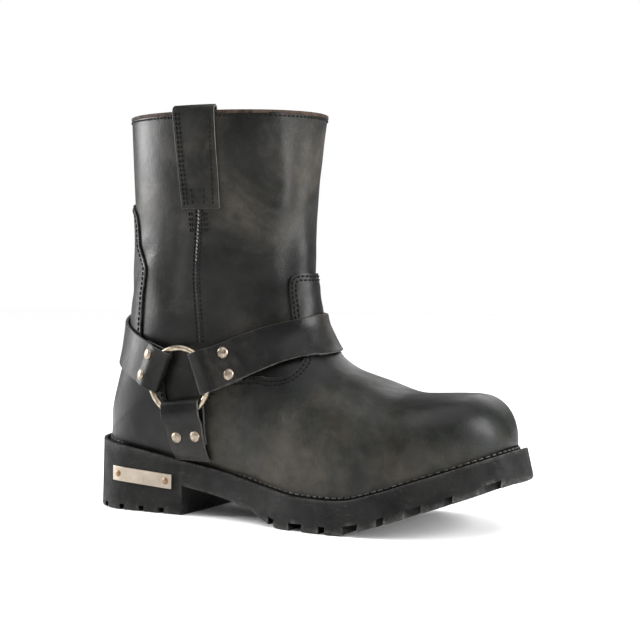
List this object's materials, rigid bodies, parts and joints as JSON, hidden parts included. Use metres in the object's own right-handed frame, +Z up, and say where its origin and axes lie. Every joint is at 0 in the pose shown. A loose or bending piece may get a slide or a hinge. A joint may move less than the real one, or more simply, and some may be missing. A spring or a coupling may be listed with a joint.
{
  "type": "harness boot",
  "caption": "Right harness boot in black leather with a round toe, a ring with three riveted straps, a medial zip and a lugged rubber sole.",
  "frame": {"origin": "on the floor under the middle of the heel, at the centre of the heel's tread", "axes": "+X towards the toe, +Y towards the boot's medial side (the wearer's left), +Z up"},
  "size_m": [0.3211, 0.1205, 0.2765],
  "materials": {
    "black_leather": "waxed, soft sheen",
    "strap_leather": "smooth, cut edges",
    "black_rubber": "matte",
    "welt_leather": "matte, stitched",
    "lining": "matte",
    "zip_tape": "woven",
    "aged_brass": "aged, soft shine",
    "pewter": "aged, soft shine",
    "aged_nickel": "aged, soft shine"
  },
  "bodies": {
    "boot": {"counter": "black_leather", "heel_plate": "pewter", "insole": "lining", "outsole": "black_rubber", "plate_stud_1": "pewter", "plate_stud_2": "pewter", "pull_loop": "strap_leather", "strap_back": "strap_leather", "strap_back_rivet_1": "pewter", "strap_back_rivet_2": "pewter", "strap_back_rivet_3": "pewter", "strap_back_rivet_4": "pewter", "strap_front": "strap_leather", "strap_front_rivet_1": "pewter", "strap_front_rivet_2": "pewter", "strap_front_rivet_3": "pewter", "strap_front_rivet_4": "pewter", "strap_low": "strap_leather", "strap_low_rivet_1": "pewter", "strap_low_rivet_2": "pewter", "upper": "black_leather", "vamp": "black_leather", "welt": "welt_leather", "zip_slider": "aged_nickel", "zip_tape": "zip_tape", "zip_teeth": "aged_brass"},
    "pull_tab": {"zip_pull": "aged_nickel"},
    "ring": {"harness_ring": "aged_brass"}
  },
  "joints": [
    {"name": "pull_tab_hinge", "type": "hinge", "parent": "boot", "child": "pull_tab", "pos_m": [0.0871, 0.0519, 0.26224], "axis": [0.9529, -0.302, -0.0271], "range_deg": [0, 150]},
    {"name": "ring_turn", "type": "hinge", "parent": "boot", "child": "ring", "pos_m": [0.04991, -0.04817, 0.09244], "axis": [0.0696, -0.9975, -0.0101], "continuous": true}
  ]
}
